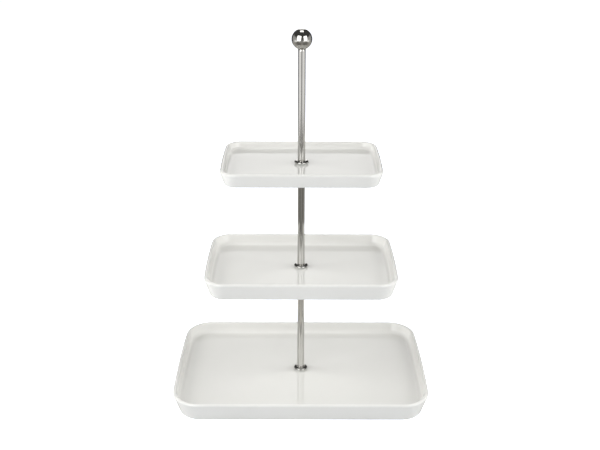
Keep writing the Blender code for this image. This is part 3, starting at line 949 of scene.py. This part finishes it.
class ColumnSettings(bpy.types.PropertyGroup):
    """Finish of the rods, collars and finial, and the collar's section."""

    chrome_colour: paint("Chrome", (0.640, 0.630, 0.610), "Colour that the plating mirrors with")
    chrome_drift_colour: paint("Chrome drift", (0.600, 0.590, 0.565), "Plating where it is a little warmer")
    chrome_roughness: factor("Chrome roughness", 0.045, "Roughness of clean plating", 0.0, 1.0)
    bar_roughness: factor("Bar roughness", 0.09, "Roughness of the clean plating on the rods", 0.0, 1.0)
    collar_hole: length("Collar hole", 2.8 * MM, "Radius of the collar's hole")
    collar_seat: length("Collar seat", 4.3 * MM, "Radius of the flat that the rod stands on")
    collar_edge: length("Collar edge", 0.8 * MM, "Height of the collar's upright edge")


class HardwareSettings(bpy.types.PropertyGroup):
    """Sizes and finishes of the threads, screw, washers and gaskets."""

    thread_pitch: length("Thread pitch", 0.8 * MM, "Rise of the thread in one turn")
    tapped_radius: length("Tapped radius", 2.55 * MM, "Radius of a tapped hole at the thread's root")
    tapped_depth: length("Tapped depth", 11.9 * MM, "Depth of the tapped holes in the rods")
    ball_depth: length("Ball depth", 10.4 * MM, "Depth of the tapped hole in the finial")
    shank_radius: length("Shank radius", 2.5 * MM, "Radius of the base screw's shank over its thread")
    socket_across: length("Socket", 3.0 * MM, "Width of the hexagonal socket across its flats")
    socket_depth: length("Socket depth", 1.4 * MM, "Depth of the hexagonal socket")
    washer_hole: length("Washer hole", 2.8 * MM, "Radius of the steel washers' holes")
    gasket_hole: length("Gasket hole", 3.1 * MM, "Radius of the gaskets' holes")
    steel_colour: paint("Steel", (0.560, 0.550, 0.530), "Bright steel")
    steel_roughness: factor("Steel roughness", 0.28, "Roughness of clean steel", 0.0, 1.0)
    silicone_colour: paint("Silicone", (0.740, 0.750, 0.720), "Milky silicone")


class StageSettings(bpy.types.PropertyGroup):
    """Camera, floor and light."""

    lens: factor("Lens", 53.65, "Focal length in millimetres", 10.0, 300.0)
    camera_distance: length("Camera distance", 0.9162, "Ahead of the column")
    camera_height: length("Camera height", 0.5717, "Above the table")
    camera_aside: FloatProperty(name="Camera aside", description="To the right of the column",
                                default=-0.0013, subtype="DISTANCE", unit="LENGTH", precision=5)
    camera_tilt: FloatProperty(name="Camera tilt", description="Below the horizon", subtype="ANGLE",
                               default=math.radians(22.30), unit="ROTATION")
    camera_bearing: FloatProperty(name="Camera bearing", description="Round the column", subtype="ANGLE",
                                  default=math.radians(-0.15), unit="ROTATION")
    camera_roll: FloatProperty(name="Camera roll", description="Round its own line of sight", subtype="ANGLE",
                               default=math.radians(0.2), unit="ROTATION")
    floor_colour: paint("Floor", (0.82, 0.845, 0.90), "Pale floor")
    floor_glow: factor("Floor glow", 1.2, "The floor's own light, as the camera sees it")
    room_front: factor("Room ahead", 0.14, "What chrome mirrors on the camera's side")
    room_side: factor("Room beside", 0.45, "What chrome mirrors at the sides")
    sweep: factor("Sweep", 1.05, "Light of the white sweep that the chrome mirrors ahead of the table")
    sweep_ahead: factor("Sweep ahead", 0.35, "Light of the same sweep straight ahead of the stand")
    room_top: factor("Room above", 0.06, "What chrome mirrors overhead")
    room_back: factor("Room behind", 1.7, "What chrome mirrors behind the stand")
    table_near: factor("Table near", 0.5, "Light of the mirrored table by the stand")
    table_far: factor("Table far", 0.2, "Light of the mirrored table further out")
    table_back: factor("Table back", 2.1, "How much brighter the mirrored table is behind the stand")


class CakeStandSettings(bpy.types.PropertyGroup):
    """All settings of the stand."""

    trays: PointerProperty(type=TraySettings)
    column: PointerProperty(type=ColumnSettings)
    hardware: PointerProperty(type=HardwareSettings)
    stage: PointerProperty(type=StageSettings)


# ---------------------------------------------------------------- operators


class CAKESTAND_OT_stage(bpy.types.Operator):
    """Add the floor, the soft lights, the surroundings and the camera"""

    bl_idname = "cake_stand.stage"
    bl_label = "Stage"

    def execute(self, context):
        look = context.scene.cake_stand.stage
        pale = glow("Pale floor", look.floor_colour, look.floor_glow)
        floor = sheet("floor", (-FLOOR_SIDE / 2, -4, 0), (FLOOR_SIDE, 0, 0), (0, FLOOR_SIDE, 0), pale)
        floor.visible_glossy = False
        near = -TABLE_SIDE / 2
        table = sheet("table_in_reflections", (near, near, -MM), (TABLE_SIDE, 0, 0), (0, TABLE_SIDE, 0),
                      reflected_table(look))
        table.visible_camera = False
        table.visible_diffuse = False
        table.visible_shadow = False
        for row in MIRRORED_LIGHTS:
            softbox(*row, seen=True, lights=False, aim=BALL_AIM)
        for row in FILL_LIGHTS:
            softbox(*row, seen=False, lights=True, aim=STAND_AIM)
        surroundings(look)
        camera(look)
        context.scene.view_settings.view_transform = "Standard"
        return {"FINISHED"}


class CAKESTAND_OT_trays(bpy.types.Operator):
    """Add the three glazed trays"""

    bl_idname = "cake_stand.trays"
    bl_label = "Trays"

    def execute(self, context):
        for level in LEVELS:
            tray(level)
        return {"FINISHED"}


class CAKESTAND_OT_rods(bpy.types.Operator):
    """Add the three polished rods of the column"""

    bl_idname = "cake_stand.rods"
    bl_label = "Rods"

    def execute(self, context):
        for node in RODS:
            rod(node)
        return {"FINISHED"}


class CAKESTAND_OT_finial(bpy.types.Operator):
    """Add the ball on top of the column"""

    bl_idname = "cake_stand.finial"
    bl_label = "Finial"

    def execute(self, context):
        ball()
        return {"FINISHED"}


class CAKESTAND_OT_collars(bpy.types.Operator):
    """Add the domed collar above each tray"""

    bl_idname = "cake_stand.collars"
    bl_label = "Collars"

    def execute(self, context):
        for level in LEVELS:
            collar(level)
        return {"FINISHED"}


class CAKESTAND_OT_gaskets(bpy.types.Operator):
    """Add the soft gaskets above and below each tray"""

    bl_idname = "cake_stand.gaskets"
    bl_label = "Gaskets"

    def execute(self, context):
        look = context.scene.cake_stand.hardware
        for level in LEVELS:
            for side in ("upper", "lower"):
                node = f"{level}_{side}_gasket"
                ring(node, f"{level}_{side}_silicone_gasket", look.gasket_hole, TOUCH, 0.3 * MM, silicone(),
                     0.12 * MM)
        return {"FINISHED"}


class CAKESTAND_OT_studs(bpy.types.Operator):
    """Add the threaded studs inside the column"""

    bl_idname = "cake_stand.studs"
    bl_label = "Studs"

    def execute(self, context):
        for node in STUDS:
            stud(node)
        return {"FINISHED"}


class CAKESTAND_OT_washers(bpy.types.Operator):
    """Add the steel washer under each tray"""

    bl_idname = "cake_stand.washers"
    bl_label = "Washers"

    def execute(self, context):
        look = context.scene.cake_stand.hardware
        for level in LEVELS:
            ring(f"{level}_under_washer", f"{level}_steel_washer", look.washer_hole, 0.0, 0.18 * MM, steel())
        return {"FINISHED"}


class CAKESTAND_OT_base_screw(bpy.types.Operator):
    """Add the socket-head screw under the base"""

    bl_idname = "cake_stand.base_screw"
    bl_label = "Base screw"

    def execute(self, context):
        screw()
        return {"FINISHED"}


OPERATORS = (
    CAKESTAND_OT_stage,
    CAKESTAND_OT_trays,
    CAKESTAND_OT_rods,
    CAKESTAND_OT_finial,
    CAKESTAND_OT_collars,
    CAKESTAND_OT_gaskets,
    CAKESTAND_OT_studs,
    CAKESTAND_OT_washers,
    CAKESTAND_OT_base_screw,
)


class CAKESTAND_PT_panel(bpy.types.Panel):
    """Buttons that add each group of pieces, and the settings that they use"""

    bl_idname = "CAKESTAND_PT_panel"
    bl_label = "Cake stand"
    bl_space_type = "VIEW_3D"
    bl_region_type = "UI"
    bl_category = "Cake stand"

    def draw(self, context):
        settings = context.scene.cake_stand
        for operator in OPERATORS:
            self.layout.operator(operator.bl_idname)
        for part in ("trays", "column", "hardware", "stage"):
            box = self.layout.box()
            group = getattr(settings, part)
            for key in group.bl_rna.properties.keys():
                if key not in ("rna_type", "name"):
                    box.prop(group, key)


CLASSES = (TraySettings, ColumnSettings, HardwareSettings, StageSettings, CakeStandSettings, *OPERATORS,
           CAKESTAND_PT_panel)


def register():
    for cls in CLASSES:
        bpy.utils.register_class(cls)
    bpy.types.Scene.cake_stand = PointerProperty(type=CakeStandSettings)


def unregister():
    del bpy.types.Scene.cake_stand
    for cls in reversed(CLASSES):
        bpy.utils.unregister_class(cls)


def main():
    register()
    for operator in OPERATORS:
        group, name = operator.bl_idname.split(".")
        getattr(getattr(bpy.ops, group), name)()


if __name__ == "__main__":
    main()
